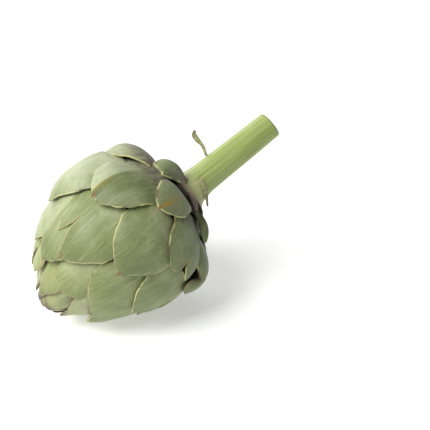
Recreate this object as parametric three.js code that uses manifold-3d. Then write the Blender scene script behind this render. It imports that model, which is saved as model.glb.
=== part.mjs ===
// A globe artichoke, cut with a short stalk and lying on its side.
//
// Millimetres, +Z up. The floor is z = 0, the stalk rises towards +X, the axis of the head lies in the
// plane y = 0, and the origin is on the floor under the middle of the whole length.
//
// Two meshes: the head, whose scale-like bracts grow from one receptacle and so are fused into one
// solid, and the leafy stalk, whose two withered leaflets are fused to it.
//
// Both are drawn in the head's own frame first: origin where the stalk meets the head, +Z along the
// axis towards the bud tip, and turns round the axis counted from the upper side of the lying head,
// clockwise as seen from the bud tip. One rotation then lays that frame down.

import * as THREE from "three";
import { mergeVertices } from "three/addons/utils/BufferGeometryUtils.js";
import Module from "manifold-3d";

const wasm = await Module();
wasm.setup();

// ---- Driving dimensions -------------------------------------------------------------------------

const HEAD_LENGTH = 114; // stalk joint to bud tip, along the axis
const HEAD_RADIUS = 53; // outside the bracts, at the widest ring
const WIDEST_AT = 42; // distance of that ring from the stalk joint
const LEAN_DEG = 29; // how far the axis rises from the floor towards the stalk
const PRESS = 1.9; // how far the lowest bracts are pressed flat by the floor
const MIDDLE = 28; // how far the middle of the whole length is from the spot that the head rests on

const BRACT_COUNT = 70;
const FIRST_BRACT = -10; // the spiral is numbered from 0 at the first large ring of bracts
const LAST_RANK = 60; // where the spiral would reach the bud tip
const TURN_DEG = 99.3; // from one bract to the next, round the axis
const FIRST_TURN_DEG = 50;
const FIRST_TIP = 58; // arc length from the stalk joint to the tip of bract 0
const CROWDING = 2.24; // how fast the bract tips crowd together towards the bud

const RISE = 1.3; // how far the bract tips stand off the mean outline of the head
const SLOPE = 0.2; // how steeply a bract dives under the ones outside it
const TIP_DROOP = 0.6; // how far a tip bends in to hug the bract below it
const MARGIN_TUCK = 0.35; // the same for the side margins
const TIP_REACH = 16; // how much of a lifted tip stands clear
const SHOULDER = 0.6; // where a bract is widest, as a share of its length from the tip
const BLUNT = 0.05; // width of the tip itself, as a share of the bract
const BEAK = 1.6; // length of the small point in the middle of the tip
const MARGIN = 1.3; // thickness of a bract at its free margin
const KEEL = 7; // depth at which a bract is rooted in the mass of the head
const TORN_BRACT = 4; // the rank of the one bract whose tip has split
const TEAR = { side: 4, open: 2.6, length: 12 }; // where the slit is, how wide and how long (mm)
const CORE_DEPTH = 6.5; // how far below the outside the receptacle and inner mass begin

const STALK_SIDES = 28; // two for each rib
const RIB = 0.3; // height of a rib above the groove beside it
const STALK_SWAY_DEG = 139; // the side of the head towards which the stalk leaves the axis
// Stations along the stalk: [distance from the joint, sway off the head's axis, radius].
const STALK = [
  [64.8, 7.7, 8.2],
  [64, 7.7, 8.7],
  [40, 6.8, 9.3],
  [20, 5.9, 9.6],
  [10, 5.4, 9.8],
  [4, 5.2, 10.1],
  [0, 4.4, 11],
  [-4, 3, 13],
  [-7, 1.5, 15],
];
const PITH = [5.2, 0.9]; // radius and depth of the sunken pith in the cut end
const JOINT_GAP = 0.3; // clearance between the stalk and the head

// The two withered leaflets: points [distance from the joint, turn in degrees, radius, width, twist].
const LEAFLETS = [
  [
    [21.0, -41, 1.0, 5.0, 0],
    [21.6, -41, 4.6, 4.4, 10],
    [23.0, -41, 8.0, 3.2, 35],
    [23.5, -41, 11.5, 2.6, 60],
    [23.3, -41, 15.2, 3.4, 80],
    [23.9, -41, 18.6, 3.2, 100],
    [26.0, -41, 20.2, 1.6, 120],
  ],
  [
    [8.0, 68, 9.0, 2.6, 0],
    [7.2, 76, 11.4, 3.4, 0],
    [5.8, 92, 13.6, 3.6, 0],
    [3.8, 116, 16.2, 3.2, 0],
    [0.5, 129, 20.7, 1.6, 0],
  ],
];
const LEAFLET_THICKNESS = 1.1;

// Values along the spiral, by rank: [rank, value], read by straight lines in between.
const HALF_WIDTH = [
  [-10, 7], [-7, 8], [-1, 12], [2, 17], [7, 25], [18, 25], [26, 21], [36, 14], [48, 8], [60, 4.5],
];
const LENGTH = [[-10, 15], [-7, 20], [-1, 30], [3, 44], [8, 54], [26, 52], [40, 38], [60, 24]];
const LIFT = [[-10, 0], [20, 0], [34, 1.2], [60, 1.2]];
const DOME = [[-7, 0.5], [2, 1.2], [8, 2.4], [26, 1.7], [40, 0.7], [60, 0.3]];

// Bracts that settled a little off the spiral. For each rank: how far it moved towards the bud (bud,
// mm) and round the axis (turn, degrees), how much higher the whole bract sits (seat, mm), its tip
// stands clear (lift, mm) and its middle swells (dome, mm), and what scales its width.
const SETTLED = new Map([
  [-8, { bud: 3, turn: -8, seat: -1, dome: 3.5, width: 1.6 }],
  [-7, { bud: -6, width: 0.6 }],
  [-4, { bud: -16, width: 0.6 }],
  [-1, { bud: -4, turn: -10 }],
  [0, { bud: 1, width: 1.2 }],
  [3, { bud: -14, turn: -11, seat: -1.5, dome: 5 }],
  [4, { turn: 6, width: 1.12 }],
  [7, { bud: -4, turn: -8 }],
  [8, { bud: -9, lift: 3, dome: 3, width: 1.1 }],
  [10, { bud: 8, turn: 15, dome: 3 }],
  [11, { bud: 2, turn: 4, width: 1.06 }],
  [14, { bud: 5, turn: 10, seat: 0.9, lift: 1.5, width: 0.45 }],
  [15, { bud: 1, turn: 9 }],
  [18, { bud: 3, turn: -12 }],
  [22, { bud: 3, turn: 16 }],
  [25, { bud: -4, turn: -4 }],
  [26, { turn: 4 }],
  [29, { turn: 4 }],
  [32, { bud: -5, turn: 4 }],
]);

// ---- Small helpers ------------------------------------------------------------------------------

const radians = THREE.MathUtils.degToRad;
const fraction = (x) => x - Math.floor(x);

// The same draw for the same rank and purpose every time, from -1 to 1.
const draw = (rank, purpose) => 2 * fraction(Math.sin(rank * 12.9898 + purpose * 78.233) * 43758.5453) - 1;

function along(table, x) {
  for (let i = 1; i < table.length; i++) {
    const [x0, y0] = table[i - 1];
    const [x1, y1] = table[i];
    if (x <= x1) return THREE.MathUtils.lerp(y0, y1, Math.max(0, (x - x0) / (x1 - x0)));
  }
  return table[table.length - 1][1];
}

// A closed three.js geometry as a manifold-3d solid, and back.
function solidOf(geometry) {
  const bare = geometry.clone();
  bare.deleteAttribute("normal");
  bare.deleteAttribute("uv");
  const merged = mergeVertices(bare, 1e-4);
  const vertProperties = new Float32Array(merged.attributes.position.array);
  const triVerts = new Uint32Array(merged.index.array);
  return new wasm.Manifold(new wasm.Mesh({ numProp: 3, vertProperties, triVerts }));
}

function geometryOf(solid) {
  const { vertProperties, triVerts } = solid.getMesh();
  const geometry = new THREE.BufferGeometry();
  geometry.setAttribute("position", new THREE.BufferAttribute(new Float32Array(vertProperties), 3));
  geometry.setIndex(new THREE.BufferAttribute(new Uint32Array(triVerts), 1));
  geometry.computeVertexNormals();
  return geometry;
}

// Joins solids into one, drops loose scraps and fills hollows that the joining sealed.
function fuse(solids) {
  const joined = wasm.Manifold.union(solids);
  const bodies = joined.decompose().sort((a, b) => b.volume() - a.volume());
  return bodies[0];
}

// A closed wedge: a grid of (rows + 1) x (columns + 1) surface points, a margin under its border, and
// an underside that runs from the margin down to one root point deep inside the head.
function wedgeGeometry(rows, columns, surfacePoint, marginPoint, root) {
  const positions = [];
  const index = [];
  const add = (point) => positions.push(...point.toArray()) / 3 - 1;
  const grid = [];
  for (let i = 0; i <= rows; i++) {
    grid.push([]);
    for (let j = 0; j <= columns; j++) grid[i].push(add(surfacePoint(i, j)));
  }
  for (let i = 0; i < rows; i++)
    for (let j = 0; j < columns; j++) {
      index.push(grid[i][j], grid[i][j + 1], grid[i + 1][j + 1]);
      index.push(grid[i][j], grid[i + 1][j + 1], grid[i + 1][j]);
    }
  const border = [];
  for (let j = 0; j < columns; j++) border.push([0, j]);
  for (let i = 0; i < rows; i++) border.push([i, columns]);
  for (let j = columns; j > 0; j--) border.push([rows, j]);
  for (let i = rows; i > 0; i--) border.push([i, 0]);
  const under = border.map(([i, j]) => add(marginPoint(i, j)));
  const deep = add(root);
  border.forEach(([i, j], k) => {
    const next = (k + 1) % border.length;
    const [ni, nj] = border[next];
    index.push(grid[i][j], under[k], under[next], grid[i][j], under[next], grid[ni][nj]);
    index.push(under[next], under[k], deep);
  });
  const geometry = new THREE.BufferGeometry();
  geometry.setAttribute("position", new THREE.Float32BufferAttribute(positions, 3));
  geometry.setIndex(index);
  return geometry;
}

// ---- The outline of the head --------------------------------------------------------------------

function outlineRadius(s) {
  if (s < WIDEST_AT) return HEAD_RADIUS * Math.sqrt(1 - ((WIDEST_AT - s) / WIDEST_AT) ** 1.9);
  const x = Math.min(1, (s - WIDEST_AT) / (HEAD_LENGTH - WIDEST_AT));
  return HEAD_RADIUS * Math.max(0, 1 - x ** 1.8) ** (1 / 1.55);
}

// Points [s, r] along the outline, and the arc length from the stalk joint to each of them.
const OUTLINE = (() => {
  const steps = 4000;
  const points = [];
  for (let i = 0; i <= steps; i++) {
    const s = (HEAD_LENGTH * (1 - Math.cos((Math.PI * i) / steps))) / 2;
    points.push([s, outlineRadius(s)]);
  }
  const arcs = [0];
  for (let i = 1; i <= steps; i++)
    arcs.push(arcs[i - 1] + Math.hypot(points[i][0] - points[i - 1][0], points[i][1] - points[i - 1][1]));
  return { points, arcs, length: arcs[steps] };
})();

// The outline at an arc length: its point and its outward normal.
function outlineAt(arc) {
  const { points, arcs, length } = OUTLINE;
  const x = THREE.MathUtils.clamp(arc, 0, length);
  let low = 0;
  let high = arcs.length - 1;
  while (high - low > 1) {
    const middle = (low + high) >> 1;
    if (arcs[middle] <= x) low = middle;
    else high = middle;
  }
  const share = (x - arcs[low]) / (arcs[high] - arcs[low]);
  const [s, r] = [0, 1].map((k) => THREE.MathUtils.lerp(points[low][k], points[high][k], share));
  const from = points[Math.max(0, low - 20)];
  const to = points[Math.min(points.length - 1, high + 20)];
  const run = Math.hypot(to[0] - from[0], to[1] - from[1]);
  return { s, r, normalS: -(to[1] - from[1]) / run, normalR: (to[0] - from[0]) / run };
}

// A point at an arc length along the outline, a turn round the axis, and a height off the outline.
function headPoint(arc, turn, height) {
  const { s, r, normalS, normalR } = outlineAt(arc);
  const radius = Math.max(0.2, r + height * normalR);
  return new THREE.Vector3(radius * Math.cos(turn), radius * Math.sin(turn), s + height * normalS);
}

// ---- Bracts -------------------------------------------------------------------------------------

function bractAt(rank) {
  const nudge = { bud: 0, turn: 0, seat: 0, lift: 0, dome: 0, width: 1, ...SETTLED.get(rank) };
  const reach = OUTLINE.length - FIRST_TIP;
  return {
    rank,
    tip: FIRST_TIP + reach * (1 - (1 - rank / LAST_RANK) ** CROWDING) + nudge.bud,
    turn: radians(FIRST_TURN_DEG + TURN_DEG * rank + nudge.turn),
    seat: RISE + nudge.seat,
    lift: along(LIFT, rank) + nudge.lift,
    halfWidth: along(HALF_WIDTH, rank) * nudge.width * (1 + 0.04 * draw(rank, 1)),
    length: along(LENGTH, rank),
    dome: along(DOME, rank) * (1 + 0.2 * draw(rank, 2)) + nudge.dome,
  };
}

// Half the width of a bract at a share t of its length from the tip: an ogive with a small blunt end.
function halfWidthAt(bract, t) {
  const towardsTip = (1 - (1 - t / SHOULDER) ** 2) ** 0.72;
  const towardsRoot = 1 - 0.25 * ((t - SHOULDER) / (1 - SHOULDER)) ** 2;
  const ogive = t < SHOULDER ? towardsTip : towardsRoot;
  return bract.halfWidth * (BLUNT + (1 - BLUNT) * ogive);
}

// A point of a bract: t from tip (0) to root (1), v across it (-1 to 1), at a depth under its skin.
function bractPoint(bract, t, v, depth) {
  const back = t * bract.length;
  const beak = t === 0 && v === 0 ? BEAK * Math.min(1, bract.halfWidth / 20) : 0;
  const arc = bract.tip - back + beak;
  const round = Math.max(outlineAt(arc).r, 5);
  const turn = bract.turn + (v * halfWidthAt(bract, t)) / round;
  const crown = (1 - v * v) * Math.sin(Math.PI * Math.min(1, t / 0.9));
  const edge = TIP_DROOP * (1 - bract.rank / 45) * Math.exp(-back / 6) + MARGIN_TUCK * v ** 4;
  const lift = bract.lift * Math.max(0, 1 - back / TIP_REACH) ** 2;
  const height = bract.seat + lift + bract.dome * crown - edge - SLOPE * back;
  return headPoint(arc, -turn, height - depth);
}

function bractGeometry(bract) {
  const [rows, columns] = bract.halfWidth > 15 ? [5, 6] : [4, 4];
  const share = (i) => (i / rows) ** 1.3;
  const across = (j) => (2 * j) / columns - 1;
  const surfacePoint = (i, j) => bractPoint(bract, share(i), across(j), 0);
  const marginPoint = (i, j) => bractPoint(bract, share(i), 0.96 * across(j), MARGIN);
  const root = bractPoint(bract, 0.55, 0, KEEL);
  return wedgeGeometry(rows, columns, surfacePoint, marginPoint, root);
}

// The slit of a torn tip, as a wedge through the bract that opens towards the tip.
function tearSolid(bract) {
  const { side, open, length } = TEAR;
  const lateral = (mm) => -(bract.turn + mm / outlineAt(bract.tip).r);
  const corners = [4, -6].flatMap((height) => [
    headPoint(bract.tip + 4, lateral(side - open / 2), height),
    headPoint(bract.tip + 4, lateral(side + open / 2), height),
    headPoint(bract.tip - length, lateral(side + open), height - SLOPE * length),
  ]);
  const geometry = new THREE.BufferGeometry().setFromPoints(corners);
  geometry.setIndex([0, 1, 2, 3, 5, 4, 0, 3, 4, 0, 4, 1, 1, 4, 5, 1, 5, 2, 2, 5, 3, 2, 3, 0]);
  return solidOf(geometry);
}

// The receptacle and the closed inner bud, seen only in the gaps between bracts.
function coreSolid() {
  const rows = 18;
  const profile = [];
  for (let i = 0; i <= rows; i++) {
    const arc = (OUTLINE.length * i) / rows;
    const { s, r, normalS, normalR } = outlineAt(arc);
    const radius = i === 0 || i === rows ? 0 : Math.max(0.5, r - CORE_DEPTH * normalR);
    profile.push(new THREE.Vector2(radius, s - CORE_DEPTH * normalS));
  }
  return solidOf(new THREE.LatheGeometry(profile, 36).rotateX(Math.PI / 2));
}

function headSolid() {
  const bracts = [];
  for (let i = 0; i < BRACT_COUNT; i++) {
    const bract = bractAt(FIRST_BRACT + i);
    const solid = solidOf(bractGeometry(bract));
    bracts.push(bract.rank === TORN_BRACT ? solid.subtract(tearSolid(bract)) : solid);
  }
  return fuse([coreSolid(), ...bracts]);
}

// ---- Stalk --------------------------------------------------------------------------------------

// A closed tube through rings of points, capped by a fan at each end.
function tubeGeometry(rings, startCentre, endCentre) {
  const sides = rings[0].length;
  const positions = rings.flat().flatMap((point) => point.toArray());
  const start = positions.length / 3;
  positions.push(...startCentre.toArray(), ...endCentre.toArray());
  const index = [];
  for (let k = 0; k < sides; k++) {
    const next = (k + 1) % sides;
    for (let i = 0; i < rings.length - 1; i++) {
      const [a, b] = [i * sides, (i + 1) * sides];
      index.push(a + k, b + next, b + k, a + k, a + next, b + next);
    }
    const last = (rings.length - 1) * sides;
    index.push(start, next, k, start + 1, last + k, last + next);
  }
  const geometry = new THREE.BufferGeometry();
  geometry.setAttribute("position", new THREE.Float32BufferAttribute(positions, 3));
  geometry.setIndex(index);
  return geometry;
}

// The stalk as a solid, grown outwards by an allowance so that it can also cut its own socket.
function stalkSolid(allowance) {
  const sway = radians(STALK_SWAY_DEG);
  const centreAt = (away, offset) =>
    new THREE.Vector3(offset * Math.cos(sway), -offset * Math.sin(sway), -away);
  const ring = (away, offset, radius, ribbed) => {
    const centre = centreAt(away, offset);
    const points = [];
    for (let k = 0; k < STALK_SIDES; k++) {
      const turn = (2 * Math.PI * k) / STALK_SIDES;
      const reach = radius + allowance + (ribbed && k % 2 ? -RIB : 0);
      points.push(new THREE.Vector3(reach * Math.cos(turn), reach * Math.sin(turn), 0).add(centre));
    }
    return points;
  };
  const [pithRadius, pithDepth] = PITH;
  const [end, endSway] = STALK[0];
  const rings = STALK.map(([away, offset, radius]) => ring(away, offset, radius, true));
  rings[rings.length - 1].forEach((point) => (point.z += allowance));
  rings.unshift(ring(end, endSway, pithRadius, false));
  rings.unshift(ring(end - pithDepth, endSway, pithRadius - 1, false));
  const [joint, jointSway] = STALK[STALK.length - 1];
  return solidOf(
    tubeGeometry(rings, centreAt(end - pithDepth, endSway), centreAt(joint - allowance, jointSway)),
  );
}

// A narrow withered leaflet: a twisted strip, thicker along its midrib.
function leafletSolid(stations) {
  const points = stations.map(([away, turn, radius]) => {
    const angle = radians(turn);
    return new THREE.Vector3(radius * Math.cos(angle), -radius * Math.sin(angle), -away);
  });
  const rings = points.map((point, i) => {
    const [, , , width, twist] = stations[i];
    const before = points[Math.max(0, i - 1)];
    const after = points[Math.min(points.length - 1, i + 1)];
    const forward = after.clone().sub(before).normalize();
    const outward = new THREE.Vector3(point.x, point.y, 0).normalize();
    const sideways = outward.clone().cross(forward);
    if (sideways.length() < 0.3) sideways.set(0, 0, 1).cross(forward);
    sideways.normalize().applyAxisAngle(forward, radians(twist));
    const flat = forward.clone().cross(sideways);
    const corner = (x, y) =>
      point
        .clone()
        .addScaledVector(sideways, (x * width) / 2)
        .addScaledVector(flat, y * LEAFLET_THICKNESS);
    const lower = [corner(-1, -0.3), corner(0, -0.5), corner(1, -0.3)];
    const upper = [corner(1, 0.3), corner(0, 0.5), corner(-1, 0.3)];
    return [...lower, ...upper];
  });
  return solidOf(tubeGeometry(rings, points[0], points[points.length - 1]));
}

// ---- Assembly -----------------------------------------------------------------------------------

// Where the lying head touches the floor: the outline point whose tangent is level.
function layDown() {
  const lean = radians(LEAN_DEG);
  let lowest = { depth: 0 };
  for (const [s, r] of OUTLINE.points) {
    const depth = s * Math.sin(lean) + r * Math.cos(lean);
    if (depth > lowest.depth) lowest = { depth, s, r };
  }
  const x = lowest.s * Math.cos(lean) - lowest.r * Math.sin(lean) - MIDDLE;
  const tilt = new THREE.Matrix4().makeRotationY(-(Math.PI / 2 + lean));
  return new THREE.Matrix4().makeTranslation(x, 0, lowest.depth - PRESS).multiply(tilt);
}

const stalk = fuse([stalkSolid(0), ...LEAFLETS.map(leafletSolid)]);
const head = headSolid().subtract(stalkSolid(JOINT_GAP));
const laid = layDown().toArray();
const floor = solidOf(new THREE.BoxGeometry(400, 400, 100).translate(0, 0, -50));

const group = new THREE.Group();
for (const [name, solid, color] of [
  ["head", head, 0x8a9a68],
  ["stem", stalk, 0x9aa860],
]) {
  const material = new THREE.MeshStandardMaterial({ color, roughness: 0.6, metalness: 0 });
  const resting = fuse([solid.transform(laid).subtract(floor)]);
  const mesh = new THREE.Mesh(geometryOf(resting), material);
  mesh.name = name;
  group.add(mesh);
}

export default group;
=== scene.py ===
# %% [markdown]
# # A globe artichoke on its side
#
# A globe artichoke is the unopened flower bud of a large thistle. What shows are bracts, thick
# scale-like leaves that grow in a spiral from one fleshy base and lie over each other like roof
# tiles. This one is cut with a short stalk and lies on its side.
#
# The plain solid model gives the place and the size of everything. Each visible piece is then made
# again, finer, in the same place.

# %% Load the solid model
import math

import bpy
import numpy as np
from mathutils import Matrix, Vector


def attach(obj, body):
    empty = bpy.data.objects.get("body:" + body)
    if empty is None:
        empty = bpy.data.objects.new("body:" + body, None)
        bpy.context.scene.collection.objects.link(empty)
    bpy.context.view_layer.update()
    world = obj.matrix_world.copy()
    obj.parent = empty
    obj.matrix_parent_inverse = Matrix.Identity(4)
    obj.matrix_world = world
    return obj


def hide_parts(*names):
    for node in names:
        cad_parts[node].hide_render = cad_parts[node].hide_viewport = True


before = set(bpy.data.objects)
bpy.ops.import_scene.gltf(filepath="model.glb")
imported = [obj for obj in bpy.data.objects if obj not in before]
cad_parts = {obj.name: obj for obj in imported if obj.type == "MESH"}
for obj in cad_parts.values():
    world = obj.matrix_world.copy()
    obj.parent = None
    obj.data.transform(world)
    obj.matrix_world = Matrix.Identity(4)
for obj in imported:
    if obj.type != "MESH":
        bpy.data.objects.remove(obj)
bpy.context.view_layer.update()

print("its solids:", sorted(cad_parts))

# %% [markdown]
# ## One frame for the whole head
#
# Everything on an artichoke grows round one axis, so it's drawn as distances along the axis and off
# it, and a turn round it. The head could be drawn upright and turned at the end. Instead one
# function lays each point down as it is made, from millimetres to metres, and no object is moved.

# %% The axis of the head
MM = 0.001
LEAN = math.radians(29)  # how far the axis rises from the floor towards the stalk
JOINT = np.array([19.61, 0.0, 73.175])  # where the stalk meets the head, mm
TO_BUD = np.array([-math.cos(LEAN), 0.0, -math.sin(LEAN)])
TO_UPPER_SIDE = np.array([-math.sin(LEAN), 0.0, math.cos(LEAN)])
TO_NEAR_SIDE = np.array([0.0, -1.0, 0.0])


def lay_down(along, off, turn):
    """Points in metres, from mm along the axis, mm off it, and radians round it."""
    along, off, turn = np.broadcast_arrays(along, off, turn)
    points = JOINT + along[..., None] * TO_BUD
    points += (off * np.cos(turn))[..., None] * TO_UPPER_SIDE
    points += (off * np.sin(turn))[..., None] * TO_NEAR_SIDE
    points[..., 2] = np.maximum(points[..., 2], 0)  # nothing sinks into the floor
    return points * MM


print("the joint, in metres:", lay_down(0.0, 0.0, 0.0).round(4))

# %% [markdown]
# ## The outline of the head
#
# A closed bud is widest a third of the way up, full at the base and drawn in to a blunt tip. That
# could be a drawn curve. Two superellipses, ellipses with a power other than two, give it with few
# numbers. The bracts are placed along the arc of the outline and not along the axis, so that they
# keep their size where it turns in.

# %% Outline and arc length
HEAD_LENGTH = 114  # mm, like the next two
HEAD_RADIUS = 53
WIDEST_AT = 42
BASE_FULLNESS = 1.9  # powers: 2 gives an ellipse, and less is more pointed
BUD_FULLNESS = 1.8
BUD_BLUNTNESS = 1.55
OUTLINE_POINTS = 4001


def outline_radius(along):
    """The radius of the head, at mm along the axis."""
    below = np.clip((WIDEST_AT - along) / WIDEST_AT, 0, 1)
    above = np.clip((along - WIDEST_AT) / (HEAD_LENGTH - WIDEST_AT), 0, 1)
    base = np.sqrt(1 - below**BASE_FULLNESS)
    bud = np.clip(1 - above**BUD_FULLNESS, 0, 1) ** (1 / BUD_BLUNTNESS)
    return HEAD_RADIUS * np.where(along < WIDEST_AT, base, bud)


outline_along = HEAD_LENGTH * (1 - np.cos(np.linspace(0, np.pi, OUTLINE_POINTS))) / 2
outline_off = outline_radius(outline_along)
steps = np.hypot(np.diff(outline_along), np.diff(outline_off))
outline_arc = np.concatenate([[0], np.cumsum(steps)])
ARC_LENGTH = outline_arc[-1]
print(f"base to tip along the outline: {ARC_LENGTH:.1f} mm")

# %% A point on the head
SLOPE_REACH = 20  # outline points on each side of a slope
NEAREST_AXIS = 0.2  # mm

place = np.arange(OUTLINE_POINTS)
before = np.maximum(place - SLOPE_REACH, 0)
after = np.minimum(place + SLOPE_REACH + 1, OUTLINE_POINTS - 1)
run_along = outline_along[after] - outline_along[before]
run_off = outline_off[after] - outline_off[before]
run = np.hypot(run_along, run_off)
normal_along, normal_off = -run_off / run, run_along / run


def on_head(arc, turn, height):
    """The point at an arc length, a turn and a height off the outline."""
    along = np.interp(arc, outline_arc, outline_along)
    off = np.interp(arc, outline_arc, outline_off)
    along = along + height * np.interp(arc, outline_arc, normal_along)
    off = off + height * np.interp(arc, outline_arc, normal_off)
    return lay_down(along, np.maximum(NEAREST_AXIS, off), turn)


print("upper side, half way:", on_head(ARC_LENGTH / 2, 0.0, 0.0).round(4))

# %% [markdown]
# ## The spiral of bracts
#
# Plants set each new leaf a fixed turn after the last. Here that is 99.3 degrees, which gives the
# crossing spirals that the eye picks out. The bracts could be placed one by one, but a rule makes
# them sit together as grown ones do. Their size and swell change slowly, so they come from tables.

# %% Tables along the spiral
FIRST_RANK = -10  # below 0 are the small bracts at the stalk
BRACT_COUNT = 70
LAST_RANK = 60
TURN_DEG = 99.3
FIRST_TURN_DEG = 50
FIRST_TIP = 58  # mm of arc from the joint to the tip of rank 0
CROWDING = 2.24  # how much closer the tips get towards the bud

# Ranks, then the value at each, in mm unless a comment says otherwise.
HALF_WIDTH = [
    [-10, -7, -1, 2, 7, 18, 26, 36, 48, 60],
    [7, 8, 12, 17, 25, 25, 21, 14, 8, 4.5],
]
LENGTH = [[-10, -7, -1, 3, 8, 26, 40, 60], [15, 20, 30, 44, 54, 52, 38, 24]]
LIFT = [[-10, 30, 38, 60], [0, 0.4, 2.0, 2.2]]
SEAT = [[-10, 29, 36, 60], [1.3, 1.3, -0.9, -1.1]]
DIVE = [[-10, 30, 40, 60], [1, 1, 1.6, 1.6]]  # times the plain dive
DOME = [[-7, 2, 8, 26, 40, 60], [0.5, 1.2, 2.4, 1.7, 0.7, 0.3]]
BROWNED = [[28, 36, 60], [0, 0.6, 0.8]]  # share of the margin


def draw(rank, purpose):
    """A fixed random number from -1 to 1 for each bract and purpose, by the usual sine hash."""
    wave = math.sin(rank * 12.9898 + purpose * 78.233) * 43758.5453
    return 2 * (wave - math.floor(wave)) - 1


print("drawn for rank 0:", round(draw(0, 1), 3))

# %% [markdown]
# ## How each bract settled
#
# A real head isn't as regular as its rule: bracts slide, swell and stand off as it grows. More
# random numbers would blur all of them alike, so tables hold what is true of a single bract: its
# place, its margins, its tears, and the small marks that only some carry. Among the marks are
# values of painted light and shade that make some bracts paler or darker as a whole.

# %% Bracts that left the rule
# Moved towards the bud (mm of arc), turned (degrees), raised (seat), swollen (dome), and so on.
SETTLED = {
    -10: dict(bud=19, turn=-43, seat=0.5, width=0.3),
    -9: dict(seat=-4),
    -8: dict(bud=12, turn=34, seat=2.2, dome=4, width=1.3, length=1.7, skew=0.2),
    -7: dict(bud=8, turn=5, seat=0.5, width=0.35),
    -4: dict(bud=-6, turn=14, seat=-1.5, dome=1, width=0.5),
    -3: dict(bud=1.5, turn=-7, seat=0.2, dome=1.5, width=0.44),
    -1: dict(bud=-4, turn=-10),
    0: dict(bud=-0.2, turn=0.5, width=1.2, length=1.35),
    3: dict(bud=-14, turn=-14, seat=-0.5, dome=5),
    4: dict(turn=6, width=1.12),
    6: dict(width=1.2, turn=5),
    7: dict(bud=-4, turn=-8, length=1.12),
    8: dict(bud=-10.5, seat=-1, dome=3.5, width=1.1, length=0.8),
    10: dict(bud=7, turn=15, dome=2),
    11: dict(bud=2, turn=4, width=1.06, length=1.12),
    14: dict(seat=-6, width=0.45),
    15: dict(bud=-1.5, turn=8),
    18: dict(bud=2, turn=-10.5),
    19: dict(bud=-13, seat=-3),
    22: dict(bud=3, turn=16),
    25: dict(bud=-4, turn=-4),
    26: dict(turn=4),
    29: dict(bud=-4, turn=1, seat=-1.8),
    30: dict(bud=-7, seat=-2.5),
    32: dict(bud=-5, turn=4),
    33: dict(bud=-3.5, turn=2, seat=0.5, width=0.85),
    36: dict(bud=-1, seat=0.8),
    40: dict(seat=1),
}
print(len(SETTLED), "bracts left the rule")

# %% Lopsided margins
# By rank and side (-1 left, 1 right): mm back from the tip, then mm out from the middle.
MARGINS = {
    (-8, 1): ([0, 1, 6.6, 14, 22], [1, 6.5, 6.2, 5, 7.6]),
    (-3, -1): ([0, 2, 6, 12, 18, 22], [0.3, 1.8, 3.6, 4.6, 4.4, 4]),
    (-3, 1): ([0, 2, 6, 12, 18, 22], [0.3, 1.7, 3.5, 4.6, 4.4, 4]),
    (0, -1): ([0, 0.8, 4.1, 8.9, 13.8, 17.7, 20.4, 26], [1, 3.4, 6.5, 9.3, 10.4, 10.4, 9, 6]),
    (0, 1): ([0, 4.3, 9.2, 16.7, 23.3], [1, 9.4, 13.9, 14.9, 13]),
    (3, -1): ([0, 2, 6, 13], [5, 10, 14.5, 18]),
    (3, 1): ([0, 1.5, 4.9, 11.7, 18], [2, 9, 16, 20, 24]),
    (4, -1): ([0, 1.6, 5.5, 14], [5, 12.4, 18.2, 21.5]),
    (4, 1): ([0, 3.8, 10, 18, 22.5, 27.5, 32], [8.7, 9.5, 12, 17, 17, 14, 9]),
    (7, -1): ([0, 2.4, 6.3, 12.1, 18.4, 27], [1.2, 7.2, 11.2, 17, 20, 22]),
    (7, 1): ([0, 0.8, 5.3, 15.5, 24], [1.5, 7.7, 15.9, 21.3, 24.4]),
    (8, -1): ([0, 4, 6.5, 10, 13.3, 15, 18], [6.5, 9.8, 9.2, 6.4, 4.2, 9, 17]),
    (8, 1): ([0, 1, 6, 13], [8, 13, 22, 27]),
    (10, 1): ([0, 6.5, 12.6, 17.7, 24.3], [1, 10.4, 17.7, 22.8, 27]),
    (11, -1): ([0, 3.3, 8.5, 15.7, 23.5, 30], [1, 8.8, 15.6, 21.8, 25.9, 26.5]),
    (11, 1): ([0, 5.1, 12.3, 17.7, 23.8], [1, 6.5, 14, 17, 20]),
    (18, -1): ([0, 5, 9.8, 16.1, 20.2, 26.3], [1, 7, 12.9, 18.3, 20.4, 22.4]),
    (18, 1): ([0, 1.8, 5.2, 10.3, 16.8, 22.2], [1, 6.1, 10.7, 16.4, 22.2, 25.3]),
    (22, -1): ([0, 1.9, 5.3, 10.4, 19.2, 26.2], [1, 3.9, 10.8, 18.2, 25.6, 29.9]),
    (29, -1): ([0, 1.5, 4, 8, 12], [1, 5.5, 10, 13.5, 15.5]),
    (29, 1): ([0, 2.3, 7, 12], [1, 7, 13, 17]),
    (32, -1): ([0, 1.5, 4, 10], [1, 7.5, 11, 13]),
    (32, 1): ([0, 1.5, 5, 10, 16], [0.8, 3.6, 5.8, 6.4, 8]),
}
print(len(MARGINS), "margins of their own")

# %% Tears and curls
# The outline of what is missing: mm back from the tip and mm sideways.
TEARS = {
    4: [
        (5, 1.6), (2.5, 4.4), (-0.6, 7.9), (-6, 8.4), (-6, -3), (-0.5, -2.2), (2.4, -1.2),
        (4.8, -1.2), (10.8, -0.6),
    ],
    15: [
        (36, 8), (36.8, 3.5), (38.5, 0), (39, -6), (40.5, -9), (43.5, -12), (47, -13), (51, -11),
        (53, -5), (53, 4), (49, 8),
    ],
    18: [
        (26, -7.4), (21.7, -7.4), (17.3, -7.6), (13, -6.4), (8.8, -5), (4, -2.8), (0.4, -1.1),
        (-5, -1), (-5, -24), (7, -24), (9.8, -13), (12, -11.7), (14.9, -10.2), (19.8, -8.5),
    ],
}

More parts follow.
